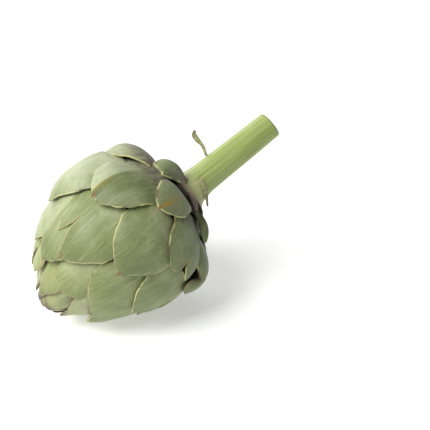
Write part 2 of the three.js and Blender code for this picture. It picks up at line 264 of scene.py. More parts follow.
# Margins that curl off the head: the side, how high, where and over what length.
NO_CURL = (1, 0, 0, 1)
CURLS = {
    3: (1, 2.2, 14, 12),
    4: (1, 1.2, 2, 8),
    8: (-1, 2.4, 13, 5),
    18: (-1, 1.8, 9, 9),
}
print(len(TEARS), "torn bracts,", len(CURLS), "curled margins")

# %% Small marks
PLAIN_PLACE = {"bud": 0, "turn": 0, "seat": 0, "dome": 0, "skew": 0, "width": 1, "length": 1}
PLAIN_MARKS = {
    "crease": 0,  # height of a fold along the middle, mm
    "streak": 0,  # an orange streak up from the tip
    "withered": 0,
    "nod": 0,  # how far the tip bends in, mm
    "beyond": (0, 0, 1),  # an extra point on the tip: mm sideways, how far out, how wide
    "flesh": 7,  # thickness away from the margin, mm
    "hug": 0.35,  # how far the margins press in, mm
    "beak": 1.6,  # length of the spine, mm
    "foot": (0, 0, 1),  # a raised root: by how much, from how far back, over what length, mm
    "shade": 1,  # how dark it is against the joint
    "flush": 0.55,  # how purple it is at the foot
    "flush_from": 52,  # mm of arc where the purple starts
    "rimless": 0,  # mm that the dry rim is moved out by, so that it doesn't show
}
# Most of the wax values here are painted light and shade: they make a whole bract paler or darker.
MARKS = {
    -10: dict(withered=1.0),
    -8: dict(withered=0.1, hug=2, nod=3, shade=0, flush=1.3, flush_from=26, bloom=0.6),
    -7: dict(withered=1.0),
    -4: dict(bloom=-0.6, dive=0.3, shade=0, flush=0),
    -3: dict(hug=1.6, bloom=-0.2, shade=0, flush=0.2, flesh=2.5, rimless=2, beak=0),
    0: dict(spine=0.6, streak=0.9, dive=0.3, flush=0.35, bloom=0.55, foot=(-8, 21.5, 6)),
    3: dict(nod=2.5, bloom=0.9, flush=0.8),
    4: dict(beyond=(-6, 1.6, 5), browned=0.4, bloom=-0.35, flesh=1.5),
    7: dict(
        crease=2.5, spine=0.8, streak=0.45, beyond=(5, 2.6, 4.5), bloom=0.3, foot=(3, 32, 14),
        flush=1,
    ),
    8: dict(flesh=2.5, browned=0.5, bloom=-0.9, beak=0),
    10: dict(bloom=0.8, foot=(3.2, 24, 20)),
    11: dict(spine=1.0, bloom=-0.4),
    14: dict(bloom=0.9),
    15: dict(browned=0.15, bloom=-0.4),
    17: dict(bloom=0.8),
    18: dict(spine=0.9, bloom=-0.6),
    21: dict(bloom=1),
    22: dict(browned=0.35, bloom=0),
    25: dict(spine=0.6, bloom=-0.6),
    26: dict(bloom=-0.5),
    29: dict(browned=0.6, bloom=0.35, spine=0.5),
    32: dict(browned=0.5),
    33: dict(browned=0.9, withered=0.2, bloom=0.9),
    36: dict(browned=0.9, bloom=-0.3),
    40: dict(browned=1, bloom=0.5),
}
print(len(MARKS), "bracts with marks of their own")


# %% All the numbers of a bract
def bract_at(rank):
    """What the rule says of a rank, changed by how it settled and by its marks."""
    settled = {**PLAIN_PLACE, **SETTLED.get(rank, {})}
    drawn_marks = {
        "dive": np.interp(rank, *DIVE),
        "bloom": 0.4 * draw(rank, 10),  # grey with wax above 0, green below; marks add painted light and shade
        "spine": 0.25 + 0.25 * draw(rank, 3),  # how brown its point is
        "browned": np.interp(rank, *BROWNED) * (1 + 0.5 * draw(rank, 8)),
    }
    towards_bud = 1 - (1 - rank / LAST_RANK) ** CROWDING
    width_drawn = 1 + 0.04 * draw(rank, 1)
    swell_drawn = 1 + 0.2 * draw(rank, 2)
    return {
        "rank": rank,
        "tip": FIRST_TIP + (ARC_LENGTH - FIRST_TIP) * towards_bud + settled["bud"],
        "turn": math.radians(FIRST_TURN_DEG + TURN_DEG * rank + settled["turn"]),
        "seat": np.interp(rank, *SEAT) + settled["seat"],
        "lift": np.interp(rank, *LIFT),
        "half_width": np.interp(rank, *HALF_WIDTH) * settled["width"] * width_drawn,
        "length": np.interp(rank, *LENGTH) * settled["length"],
        "skew": settled["skew"],
        "dome": np.interp(rank, *DOME) * swell_drawn + settled["dome"],
        **PLAIN_MARKS,
        **drawn_marks,
        **MARKS.get(rank, {}),
    }


bracts = [bract_at(FIRST_RANK + i) for i in range(BRACT_COUNT)]
print(len(bracts), "bracts, the widest", round(2 * max(b["half_width"] for b in bracts)), "mm")

# %% [markdown]
# ## The form of one bract
#
# A bract could be sculpted, or cut from a subdivided plane. Here its skin is a formula of two
# lengths, back from the tip and sideways from the middle, because then each of the seventy can be a
# little different and still lie on its neighbours.
#
# It widens from the tip as an ogive, swells like a pillow, dives under the bracts outside it and
# hugs the ones below. On top come veins that run together at the tip, a margin that ripples, a soft
# swell, and on one a crease along the middle.


# %% Outline of a bract
SHOULDER = 0.6  # share of the length at which a plain bract is widest
OWN_MARGIN_FADE = 12  # mm over which a margin of its own goes back to the plain one


def smooth_through(x, known_x, known_y):
    """A smooth curve through points: cubics with slopes from the points on each side."""
    known_x, known_y = np.asarray(known_x, float), np.asarray(known_y, float)
    slope = np.gradient(known_y, known_x)
    i = np.clip(np.searchsorted(known_x, x) - 1, 0, len(known_x) - 2)
    run = known_x[i + 1] - known_x[i]
    t = np.clip((x - known_x[i]) / run, 0, 1)
    start = (1 + 2 * t) * (1 - t) ** 2 * known_y[i] + t * (1 - t) ** 2 * run * slope[i]
    return start + t * t * (3 - 2 * t) * known_y[i + 1] + t * t * (t - 1) * run * slope[i + 1]


def half_width_at(bract, back, side):
    """Half width at mm back from the tip, on the side of the sign of side."""
    share = np.clip(back / bract["length"], 0, 1)
    near_tip = np.clip(1 - (1 - share / SHOULDER) ** 2, 0, 1) ** 0.72
    near_root = 1 - 0.25 * ((share - SHOULDER) / (1 - SHOULDER)) ** 2
    plain = bract["half_width"] * (0.05 + 0.95 * np.where(share < SHOULDER, near_tip, near_root))
    for hand in (-1, 1):
        if (bract["rank"], hand) in MARGINS:
            known_back, known_width = MARGINS[bract["rank"], hand]
            root_back = np.sqrt(np.clip(back, 0, known_back[-1]))  # roots keep the tip blunt
            own = smooth_through(root_back, np.sqrt(known_back), known_width)
            fade = np.clip((back - known_back[-1]) / OWN_MARGIN_FADE, 0, 1)
            own += (plain - own) * fade
            plain = np.where(np.sign(side) == hand, own, plain)
    start = 3 * draw(bract["rank"], 9) + 2 * np.sign(side)
    uneven = 0.3 * np.sin(back / 2.3 + start) + 0.2 * np.sin(back / 1.1 + 2 * start)
    return plain + uneven * np.clip(plain / 15, 0, 1)


one = bracts[11 - FIRST_RANK]
print(f"rank 11, half width 20 mm back: {half_width_at(one, 20.0, 1):.1f} mm")

# %% Veins, ripples and creases
VEINS = 7  # on each side of the middle: about 3.5 mm apart where it is widest
RIPPLE_LENGTH = 15  # mm
SWELL_LENGTH = 33
FOLD_SIDE = -1.6  # mm sideways of the line along which a bract is creased
FOLD_STEEP = 1.6  # mm over which the fold falls to the right
FOLD_GENTLE = 5  # and to the left
FOLD_LENGTH = 24


def small_relief(bract, back, side, across):
    """Height in mm of all that is too small for the plain form."""
    rank = bract["rank"]
    size = min(1, bract["half_width"] / 25)
    inner = 1 - across**6
    fade = 1 - np.exp(-back / 8)
    veins = 0.05 * np.cos(2 * np.pi * VEINS * across + 3 * draw(rank, 4)) * inner * fade
    ripple = 0.3 * across**4 * np.sin(2 * np.pi * (back / RIPPLE_LENGTH + draw(rank, 5)) + across)
    swell = 0.45 * np.sin(2 * np.pi * (back / SWELL_LENGTH + draw(rank, 6)))
    swell *= np.cos(side / 9 + 3 * draw(rank, 7))
    midrib = 0.2 * np.exp(-((side / 1.8) ** 2) - back / 12)
    off = side - FOLD_SIDE
    fold = np.exp(-np.where(off > 0, off / FOLD_STEEP, -off / FOLD_GENTLE))
    crease = bract["crease"] * fold * np.exp(-((back / FOLD_LENGTH) ** 2))
    return size * (veins + ripple + swell * inner + midrib) + crease


print(f"its relief 10 mm back: {small_relief(one, 10.0, 0.0, 0.0):.2f} mm")

# %% The skin of a bract
DROOP_REACH = 6  # mm back from the tip that bends in
LIFT_REACH = 16  # mm back from the tip that stands off
DIVE_SLOPE = 0.2  # mm inwards for each mm back
EASES_FROM, EASES_OVER, EASING = 22, 26, 0.004  # so that the root doesn't sink too deep
NARROWEST = 5  # mm off the axis, under which a mm sideways doesn't turn further


def bract_skin(bract, back, side, depth):
    """Points in metres at mm back from the tip, mm sideways and mm under the skin."""
    share = np.clip(back / bract["length"], 0, 1)
    far = np.maximum(back, 0)
    size = min(1, bract["half_width"] / 20)
    beak = bract["beak"] * size * np.exp(-((side / 0.9) ** 2) - (back / 1.2) ** 2)
    at_side, by, spread = bract["beyond"]
    beak += by * np.exp(-(((side - at_side) / spread) ** 2) - far / 5)
    arc = bract["tip"] - back + beak
    across = np.clip(side / half_width_at(bract, far, side), -1, 1)
    round_off = np.maximum(np.interp(arc, outline_arc, outline_off), NARROWEST)
    crown = (1 - across**2) * np.sin(np.pi * np.minimum(1, share / 0.9))
    droop = (0.6 * (1 - bract["rank"] / 45) + bract["nod"]) * np.exp(-far / DROOP_REACH)
    tuck = bract["hug"] * across**4
    lift = bract["lift"] * np.clip(1 - back / LIFT_REACH, 0, 1) ** 2
    eased = EASING * np.clip(back - EASES_FROM, 0, EASES_OVER) ** 2
    dive = bract["dive"] * (DIVE_SLOPE * back - eased)
    foot_by, foot_from, foot_over = bract["foot"]
    dive -= foot_by * np.clip((back - foot_from) / foot_over, 0, 1) ** 2
    hand, curl_by, curl_at, curl_over = CURLS.get(bract["rank"], NO_CURL)
    curl_along = np.exp(-(((back - curl_at) / curl_over) ** 2))
    curl = curl_by * np.clip(hand * across, 0, 1) ** 1.6 * curl_along
    height = bract["seat"] + lift + bract["dome"] * crown - droop - tuck - dive + curl
    height += small_relief(bract, back, side, across)
    aside = side + bract["skew"] * back
    return on_head(arc, bract["turn"] + aside / round_off, height - depth)


print("its tip is at", bract_skin(one, np.array(0.0), np.array(0.0), 0).round(4))

# %% [markdown]
# ## From skin to a solid leaf
#
# The edge of a bract is a thin, slightly rounded lip that catches the light. A Solidify modifier
# would give it one thickness all over. Here each bract is a closed shell of two grids, its skin and
# its underside, fleshy in the middle and joined by a lip with one line of points round it.
#
# It also stores how far each point is from the tip and from the margin, by which the material
# places the dry edge, the spine and the lines.

# %% A closed shell from two grids
LIP = 1.1  # thickness at the free margin, mm


def border_of(rows, columns):
    """Places in order round a grid."""
    tip = [(0, j) for j in range(columns)]
    right = [(i, columns) for i in range(rows)]
    root = [(rows, j) for j in range(columns, 0, -1)]
    left = [(i, 0) for i in range(rows, 0, -1)]
    return tip + right + root + left


def shell_faces(rows, columns):
    """Faces of a skin grid, an underside grid and a lip line, in that order of points."""
    count = (rows + 1) * (columns + 1)
    at = lambda i, j: i * (columns + 1) + j
    faces = []
    for i in range(rows):
        for j in range(columns):
            quad = [at(i, j), at(i, j + 1), at(i + 1, j + 1), at(i + 1, j)]
            faces += [quad, [count + k for k in quad[::-1]]]
    border = border_of(rows, columns)
    for k in range(len(border)):
        near, far = k, (k + 1) % len(border)
        top = [at(*border[near]), at(*border[far])]
        lip = [2 * count + near, 2 * count + far]
        under = [count + p for p in top]
        faces += [[*top[::-1], *lip], [*lip[::-1], *under]]
    return faces


print("a shell of 2 by 2 quads has", len(shell_faces(2, 2)), "faces")

# %% The points of a bract
LIP_OUT = 0.35  # mm by which the lip stands out from the skin, and the underside stops short
TIP_IN = 0.3  # the same for the underside at the tip
CROWDED = 0.41  # of the columns towards the margins: 0 is evenly, 0.5 is most


def distance_to(back, side, corners):
    """Distance in mm to a closed line of corners."""
    nearest = np.full(back.shape, 1e3)
    for (b0, s0), (b1, s1) in zip(corners, corners[1:] + corners[:1]):
        run = (b1 - b0) ** 2 + (s1 - s0) ** 2
        t = np.clip(((back - b0) * (b1 - b0) + (side - s0) * (s1 - s0)) / run, 0, 1)
        away = np.hypot(back - b0 - t * (b1 - b0), side - s0 - t * (s1 - s0))
        nearest = np.minimum(nearest, away)
    return nearest


def bract_points(bract, rows, columns):
    """Points, and for each its mm from the tip, sideways and in from the margin."""
    share = np.linspace(0, 1, rows + 1) ** 1.5  # rows crowd towards the tip
    across = np.sin(np.linspace(-1, 1, columns + 1) * CROWDED * np.pi)
    across = across / math.sin(CROWDED * np.pi)
    back, across = np.meshgrid(share * bract["length"], across, indexing="ij")
    width = half_width_at(bract, back, across)
    inward = np.minimum((1 - np.abs(across)) * width, back + TIP_IN)
    thick = LIP + (bract["flesh"] - LIP) * (1 - np.exp(-inward / 8))
    top = bract_skin(bract, back, across * width, 0)
    tucked = across * np.maximum(0.2, width - LIP_OUT)
    under = bract_skin(bract, back + TIP_IN * (back == 0), tucked, thick)

    border = np.array(border_of(rows, columns))
    i, j = border[:, 0], border[:, 1]
    at_margin = (np.abs(across[i, j]) == 1) * np.sign(across[i, j])
    lip_back = back[i, j] - LIP_OUT * (i == 0)
    lip_side = across[i, j] * width[i, j] + LIP_OUT * at_margin
    lip = bract_skin(bract, lip_back, lip_side, 0.45 * LIP)

    if bract["rank"] in TEARS:
        to_tear = distance_to(back, across * width, TEARS[bract["rank"]])
        inward = np.minimum(inward, to_tear)
    points = np.concatenate([top.reshape(-1, 3), under.reshape(-1, 3), lip])
    flat = lambda skin, edge: np.concatenate([skin.ravel(), skin.ravel(), edge])
    return points, {
        "from_tip": flat(back, lip_back),
        "sideways": flat(across * width, lip_side),
        "from_margin": flat(inward, np.zeros(len(i))),
    }


print("in a grid of 4 by 6 it has", len(bract_points(one, 4, 6)[0]), "points")

# %% [markdown]
# ## A helper that makes a piece
#
# Every piece needs a mesh, smooth shading, its stored numbers, a link to what it rides on, and the
# solid that it stands for hidden. That could be typed out for each, but with one helper nothing is
# forgotten.


# %% Make a piece
def make_piece(name, points, faces, numbers, stands_for):
    """A mesh object that rides on the body and stands for a solid."""
    mesh = bpy.data.meshes.new(name)
    mesh.from_pydata(points.tolist(), [], faces)
    mesh.polygons.foreach_set("use_smooth", [True] * len(mesh.polygons))
    for label, values in numbers.items():
        stored = mesh.attributes.new(label, "FLOAT", "POINT")
        stored.data.foreach_set("value", values.astype(np.float32))
    mesh.validate()
    piece = bpy.data.objects.new(name, mesh)
    bpy.context.scene.collection.objects.link(piece)
    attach(piece, "root")
    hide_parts(stands_for)
    return piece


# %% Numbers that the material reads
SHADE_TO = 28.5  # mm of arc from the joint, within which a bract is in deep shade
SHADE_FADE = 5
FLUSH_FADE = 14
WAX_AND_LIGHT_TURN_AT = 13  # mm from the tip: greener and darker before it, greyer and paler after it, with wax and painted light
WAX_AND_LIGHT_FADE = 12
DRY_FROM = 31  # rank from which the tips dry
SPINE_SIDE, SPINE_BACK = 0.75, 2.1  # mm over which its brown fades
STREAK_BACK = 13


def paint_numbers(bract, numbers):
    """Adds how waxy and lit by painted light and shade, how dark in painted deep shade, how dry,
    purple and so on the bract is at each point.
    """
    rank, back, side = bract["rank"], numbers["from_tip"], numbers["sideways"]
    for label in ("rank", "browned", "bloom"):
        numbers[label] = np.full(len(back), float(bract[label]))
    spine = np.exp(-((side / SPINE_SIDE) ** 2) - (back / SPINE_BACK) ** 2)
    numbers["spine"] = bract["spine"] * spine
    shade = np.clip((SHADE_TO - bract["tip"] + back) / SHADE_FADE, 0, 1)
    numbers["shade"] = bract["shade"] * shade
    dry_tip = 0.8 * np.clip((rank - DRY_FROM) / 8, 0, 1) * (1 + 0.5 * draw(rank, 11))
    numbers["withered"] = np.maximum(bract["withered"], dry_tip * np.exp(-((back / 3) ** 2)))
    middle = FOLD_SIDE if bract["crease"] else 0.3 + 0.2 * back
    line = np.exp(-(((side - middle) / (0.6 + 0.2 * back)) ** 2))
    numbers["streak"] = bract["streak"] * (line * np.exp(-((back / STREAK_BACK) ** 2)))
    # painted light and shade with wax: paler towards the root of a bract, darker towards its tip
    numbers["bloom"] += 0.36 * np.clip((back - WAX_AND_LIGHT_TURN_AT) / WAX_AND_LIGHT_FADE, -1, 1)
    if bract["crease"]:  # painted light above the fold and painted shade below it, with wax on the pale side
        near = np.clip((FOLD_SIDE - side) / 1.5, -1, 1) * np.exp(-((back / 40) ** 2))
        numbers["bloom"] += 0.8 * near
    flush = np.clip((bract["flush_from"] - bract["tip"] + back) / FLUSH_FADE, 0, 1)
    numbers["flush"] = bract["flush"] * flush
    numbers["from_margin"] += bract["rimless"]
    return numbers


print("bracts with dry tips:", sum(b["rank"] > DRY_FROM for b in bracts))

# %% Make the bracts
FINE_GRID, COARSE_GRID = (40, 64), (22, 32)
bract_pieces = {}
for bract in bracts:
    rows, columns = FINE_GRID if bract["half_width"] > 15 else COARSE_GRID
    points, numbers = bract_points(bract, rows, columns)
    numbers = paint_numbers(bract, numbers)
    name = f"bract_{bract['rank'] - FIRST_RANK + 1:02d}"
    faces = shell_faces(rows, columns)
    piece = make_piece(name, points, faces, numbers, "head")
    bract_pieces[bract["rank"]] = piece
face_count = sum(len(piece.data.polygons) for piece in bract_pieces.values())
print(len(bract_pieces), "bracts,", face_count, "faces")

# %% [markdown]
# ## Tears
#
# Three bracts are torn. The faces inside a tear could be left out, but the shell would be open
# there. A Boolean leaves it closed: a block of the shape of what is missing, bent to follow the
# head, is taken out of it.

# %% Cut the tears
TEAR_HEIGHTS = (9.0, -12.0)  # mm off the outline, above and below the bract
TORN_EDGE = math.radians(50)


def tear(piece, bract, corners):
    """Takes a block with these corners out of a bract."""
    back, side = np.array(corners, float).T
    round_off = np.interp(bract["tip"] - back, outline_arc, outline_off)
    turn = bract["turn"] + side / round_off
    walls = [on_head(bract["tip"] - back, turn, height) for height in TEAR_HEIGHTS]
    count = len(corners)
    faces = [[k, (k + 1) % count, count + (k + 1) % count, count + k] for k in range(count)]
    faces += [list(range(count))[::-1], list(range(count, 2 * count))]
    mesh = bpy.data.meshes.new("missing")
    mesh.from_pydata(np.concatenate(walls).tolist(), [], faces)
    block = bpy.data.objects.new("missing", mesh)
    bpy.context.scene.collection.objects.link(block)
    cut = piece.modifiers.new("tear", "BOOLEAN")
    cut.object, cut.solver, cut.operation = block, "MANIFOLD", "DIFFERENCE"
    bpy.context.view_layer.update()
    graph = bpy.context.evaluated_depsgraph_get()
    torn = bpy.data.meshes.new_from_object(
        piece.evaluated_get(graph), preserve_all_data_layers=True, depsgraph=graph
    )
    piece.modifiers.clear()
    piece.data = torn
    torn.set_sharp_from_angle(angle=TORN_EDGE)
    bpy.data.objects.remove(block)
    print(piece.name, "after the tear:", len(torn.polygons), "faces")


for rank, corners in TEARS.items():
    tear(bract_pieces[rank], bracts[rank - FIRST_RANK], corners)

# %% [markdown]
# ## The receptacle
#
# The bracts grow from a fleshy base, seen only as darkness in the gaps between them. It could be
# left out, but then light would show through. One plain turned form keeps those gaps closed.

# %% The receptacle
CORE_DEPTH = 5.5  # mm under the outline
CORE_RINGS = 60
CORE_SIDES = 72


def turned_faces(rows, sides):
    """Quads of a tube of rings, and a fan at each end to the last two points."""
    faces = []
    for i in range(rows - 1):
        for k in range(sides):
            after = (k + 1) % sides
            here, beyond = i * sides, (i + 1) * sides
            faces.append([here + after, here + k, beyond + k, beyond + after])
    start = rows * sides
    last = (rows - 1) * sides
    for k in range(sides):
        after = (k + 1) % sides
        faces += [[start, k, after], [start + 1, last + after, last + k]]
    return faces


core_arcs = np.linspace(0, ARC_LENGTH, CORE_RINGS)[1:-1]
core_turns = np.linspace(0, 2 * np.pi, CORE_SIDES, endpoint=False)
arc_grid, turn_grid = np.meshgrid(core_arcs, core_turns, indexing="ij")
core_rings = on_head(arc_grid, turn_grid, -CORE_DEPTH)
core_ends = lay_down([CORE_DEPTH, HEAD_LENGTH - CORE_DEPTH], 0.0, 0.0)
core_points = np.concatenate([core_rings.reshape(-1, 3), core_ends])
core_faces = turned_faces(len(core_arcs), CORE_SIDES)
receptacle = make_piece("receptacle", core_points, core_faces, {}, "head")
print("receptacle:", len(receptacle.data.polygons), "faces")

# %% [markdown]
# ## The stalk
#
# The stalk is a ribbed stem as thick as a thumb. It leaves the head a little off its axis and
# flares where it meets the bracts. The cut end has a rim that bulges and a pith that has sunk. A
# cylinder could be pulled into that, but in a tube of rings the ribs run on unbroken.

# %% Stations along the stalk
CUT_AT = 64.8  # mm from the joint
ROOT_AT = -12.0  # inside the head
# Distance from the joint, sway off the axis, and radius, in mm.
STALK = np.array([
    [CUT_AT, 7.7, 8.2], [64, 7.7, 8.7], [40, 6.8, 9.3], [20, 5.9, 9.6], [10, 5.4, 9.9],
    [6, 5.3, 10.3], [2, 5.2, 11.2], [0, 5.1, 12], [-2, 5, 13.4], [-4, 5, 15.8],
    [-5.8, 4.6, 19.8], [-6.6, 4.4, 20.8], [-8.5, 4.4, 21.4], [ROOT_AT, 4, 22],
])
STALK_SWAY = math.radians(139)  # the turn to which it leaves the axis
RIBS, FINE_RIBS, FINEST_RIBS = 14, 43, 61  # round the stalk
STALK_SIDES = 168


def stalk_ring(away, radius, turns):
    """A ring of points at mm away from the joint."""
    sway = np.interp(away, STALK[::-1, 0], STALK[::-1, 1])
    x = radius * np.cos(turns) + sway * math.cos(STALK_SWAY)
    y = radius * np.sin(turns) + sway * math.sin(STALK_SWAY)
    return lay_down(-away, np.hypot(x, y), np.arctan2(y, x))


def rib_height(away, turns):
    """Height in mm of the ribs, of finer ribs on them, and of the stem's waver."""
    broad = 0.08 * np.cos(RIBS * turns) - 0.1
    fine = 0.04 * np.cos(FINE_RIBS * turns + 0.06 * away + 1.2)
    fine += 0.03 * np.cos(FINEST_RIBS * turns + 2.1)
    wander = 0.12 * np.sin(3 * turns + away / 17) * np.sin(away / 23 + 1)
    return broad + fine + wander


print("over one rib:", rib_height(30, np.linspace(0, 0.45, 3)).round(2), "mm")

# %% Rings of the stalk
PITH_DEPTH = 0.45
# Depth and radius of the rings on the cut face, mm.
CUT_FACE = [(PITH_DEPTH, 0.4), (PITH_DEPTH, 2.6), (0.36, 4.4), (0.14, 5.6), (0, 6.6), (0, 7.7)]
FACE_RIBS = 0.3  # share of their height that the ribs keep on the cut face
RIM = [64.75, 64.5, 64.1]  # close together, so that the rim is round
SIDE_RINGS = 140

stalk_turns = np.linspace(0, 2 * np.pi, STALK_SIDES, endpoint=False)
face_depth, face_radius = np.array(CUT_FACE).T
side_away = np.concatenate([RIM, np.linspace(63.4, ROOT_AT, SIDE_RINGS)])
side_radius = np.interp(side_away, STALK[::-1, 0], STALK[::-1, 2])
away_of = np.concatenate([CUT_AT - face_depth, side_away])
radius_of = np.concatenate([face_radius, side_radius])
ribs = [FACE_RIBS * rib_height(CUT_AT, stalk_turns) for _ in face_radius]
ribs += [rib_height(away, stalk_turns) for away in side_away]
rings = [stalk_ring(a, r + rib, stalk_turns) for a, r, rib in zip(away_of, radius_of, ribs)]
ring_count = len(rings)
print(ring_count, "rings of", STALK_SIDES, "points")

# %% Make the stalk
SCAR_AWAY = 25.5  # mm from the joint
SCAR_TURN = math.radians(319)
STEM_RADIUS = 9.5  # mm

end_away = [CUT_AT - PITH_DEPTH, ROOT_AT]
stalk_ends = [stalk_ring(away, 0.0, 0.0) for away in end_away]
on_face = np.arange(ring_count) < len(CUT_FACE)
numbers = {
    "away": np.concatenate([np.repeat(away_of, STALK_SIDES), end_away]),
    "turn": np.concatenate([np.tile(stalk_turns, ring_count), [0, 0]]),
    "from_middle": np.concatenate([np.repeat(radius_of, STALK_SIDES), [0, 0]]),
    "cut": np.concatenate([np.repeat(on_face, STALK_SIDES), [1, 0]]),
}
round_scar = STEM_RADIUS * np.abs(numbers["turn"] - SCAR_TURN)
numbers["scar"] = np.exp(-(((numbers["away"] - SCAR_AWAY) / 3) ** 2) - (round_scar / 1.3) ** 2)
stalk_points = np.concatenate([*rings, stalk_ends])
stalk_faces = turned_faces(ring_count, STALK_SIDES)
stalk = make_piece("stalk", stalk_points, stalk_faces, numbers, "stem")
print("stalk:", len(stalk.data.polygons), "faces")

# %% [markdown]
# ## Two withered leaflets
#
# Small leaves grow on the stalk below the head. Two are left, dried to thin curled strips. A curve
# with a bevel would give a round cord. Oval rings along a smooth line give a strip that can twist.

# %% Stations along the leaflets
# Distance from the joint (mm), turn (degrees), distance off the axis, width (mm), twist (degrees).
LEAFLETS = {
    "leaflet_curled": np.array([
        [21, -41, 1, 5, 0], [21.6, -41, 4.6, 4.4, 10], [23, -41, 8, 3.2, 35],
        [23.5, -41, 11.5, 2.6, 60], [23.3, -41, 15.2, 3.4, 80], [23.9, -41, 18.6, 3.2, 100],
        [26, -41, 20.2, 1.6, 120],
    ]),
    "leaflet_clasping": np.array([
        [8, 68, 9, 2.6, 0], [7.2, 76, 11.4, 3.4, 0], [5.8, 92, 13.6, 3.6, 0],
        [3.8, 116, 16.2, 3.2, 0], [0.5, 129, 20.7, 1.6, 0],
    ]),
}


def smooth_line(stations, count):
    """Values along a smooth line through the stations (a Catmull-Rom spline)."""
    padded = np.vstack([2 * stations[0] - stations[1], stations, 2 * stations[-1] - stations[-2]])
    place = np.linspace(0, len(stations) - 1, count)
    start = np.minimum(place.astype(int), len(stations) - 2)
    t = (place - start)[:, None]
    a, b, c, d = (padded[start + k] for k in range(4))
    bend = (2 * a - 5 * b + 4 * c - d) * t**2
    return 0.5 * (2 * b + (c - a) * t + bend + (3 * b - a - 3 * c + d) * t**3)


print("half way along:", smooth_line(LEAFLETS["leaflet_curled"], 3)[1].round(1))

# %% Make the leaflets
LEAFLET_RINGS = 60
LEAFLET_SIDES = 16
HALF_THICK = 0.4  # mm


def leaflet_points(stations):
    """Oval rings along a smooth line, and the middle of each end."""
    line = smooth_line(stations, LEAFLET_RINGS)
    turn = np.radians(line[:, 1])
    middle = lay_down(-line[:, 0], line[:, 2], turn) / MM
    axis_point = JOINT - line[:, :1] * TO_BUD
    forward = np.gradient(middle, axis=0)
    forward /= np.linalg.norm(forward, axis=1, keepdims=True)
    outward = middle - axis_point
    sideways = np.cross(outward, forward)
    # Where the strip runs straight out from the axis, its width lies across the axis.
    weak = np.linalg.norm(sideways, axis=1) < 0.3 * np.linalg.norm(outward, axis=1)
    sideways[weak] = np.cross(TO_BUD, forward[weak])
    sideways /= np.linalg.norm(sideways, axis=1, keepdims=True)
    flat = np.cross(forward, sideways)
    twist = np.radians(line[:, 4])[:, None]
    sideways, flat = (
        sideways * np.cos(twist) + flat * np.sin(twist),
        flat * np.cos(twist) - sideways * np.sin(twist),
    )
    angle = -np.linspace(0, 2 * np.pi, LEAFLET_SIDES, endpoint=False)
    x = np.cos(angle) * line[:, 3:4] / 2
    y = HALF_THICK * np.sin(angle) + 0.25 * np.cos(2 * angle) * line[:, 3:4] / 4
    rings = middle[:, None] + x[..., None] * sideways[:, None] + y[..., None] * flat[:, None]
    return np.concatenate([rings.reshape(-1, 3), middle[[0, -1]]]) * MM


along = np.repeat(np.linspace(0, 1, LEAFLET_RINGS), LEAFLET_SIDES)
numbers = {"along": np.concatenate([along, [0, 1]])}
leaflet_faces = turned_faces(LEAFLET_RINGS, LEAFLET_SIDES)
for name, stations in LEAFLETS.items():
    points = leaflet_points(stations)
    piece = make_piece(name, points, leaflet_faces, numbers, "stem")
    print(name, len(piece.data.polygons), "faces")

# %% [markdown]
# ## Colours and nodes
#
# Colours are written as they look on a screen (sRGB) and turned into the linear values that Blender
# mixes light with. Nodes could be set up by hand, but a leaf needs a hundred. So one helper adds a
# node, sets it and links it, and another builds a colour as a painter would: a ground, then layers,
# each with the numbers that say where it lies.


# %% Colour and node helpers
def linear(hex_colour):
    """A hex colour as the linear values that a shader works in."""
    parts = [int(hex_colour[i : i + 2], 16) / 255 for i in (1, 3, 5)]
    return [p / 12.92 if p <= 0.04045 else ((p + 0.055) / 1.055) ** 2.4 for p in parts] + [1.0]


def add_node(tree, kind, inputs=None, settings=None):
    """Adds a shader node, sets its properties, and sets or links its inputs."""
    made = tree.nodes.new("ShaderNode" + kind)
    for name, value in (settings or {}).items():
        setattr(made, name, value)
    for name, value in (inputs or {}).items():
        if isinstance(value, bpy.types.NodeSocket):
            tree.links.new(value, made.inputs[name])
        else:
            made.inputs[name].default_value = value
    return made


def new_material(name):
    """An empty material, and its node tree."""
    material = bpy.data.materials.new(name)
    material.use_nodes = True
    material.node_tree.nodes.clear()
    return material, material.node_tree


def dress(pieces, material, surface):
    """Ends a material with its surface, and gives it to some pieces."""
    tree = material.node_tree
    skin = add_node(tree, "BsdfPrincipled", surface)
    add_node(tree, "OutputMaterial", {"Surface": skin.outputs[0]})
    for piece in pieces:
        piece.data.materials.clear()
        piece.data.materials.append(material)
    print(f"{material.name}: {len(tree.nodes)} nodes")


print("mid green in linear light:", [round(v, 3) for v in linear("#869066")])

# %% Patterns and layers
COLOUR_A, COLOUR_B = 6, 7  # sockets of the Mix node
TIMES = {"operation": "MULTIPLY"}


def add_patterns(tree, read, place, patterns):
    """Noise patterns on a place, each with its waves per unit, detail and roughness."""
    for label, (waves, detail, roughness) in patterns.items():
        spread = add_node(tree, "VectorMath", {0: place, 1: waves}, TIMES).outputs[0]
        noise = {"Vector": spread, "Scale": 1.0, "Detail": detail, "Roughness": roughness}
        read[label] = add_node(tree, "TexNoise", noise).outputs["Fac"]


def layered_colour(tree, read, ground, layers):
    """A ground colour under layers: each a colour, its strength, and what places it.

    A place is a number that the tree reads, and its values where the layer starts and is full.
    """
    colour = linear(ground)
    smooth = {"interpolation_type": "SMOOTHSTEP"}
    for hex_colour, strength, places in layers:
        amount = strength
        for label, starts, full in places:
            limits = {"Value": read[label], "From Min": starts, "From Max": full}
            near = add_node(tree, "MapRange", limits, smooth).outputs[0]
            amount = add_node(tree, "Math", {0: amount, 1: near}, TIMES).outputs[0]
        mixed = {0: amount, COLOUR_A: colour, COLOUR_B: linear(hex_colour)}
        colour = add_node(tree, "Mix", mixed, {"data_type": "RGBA"}).outputs[2]
    return colour


print("colour helpers are ready")
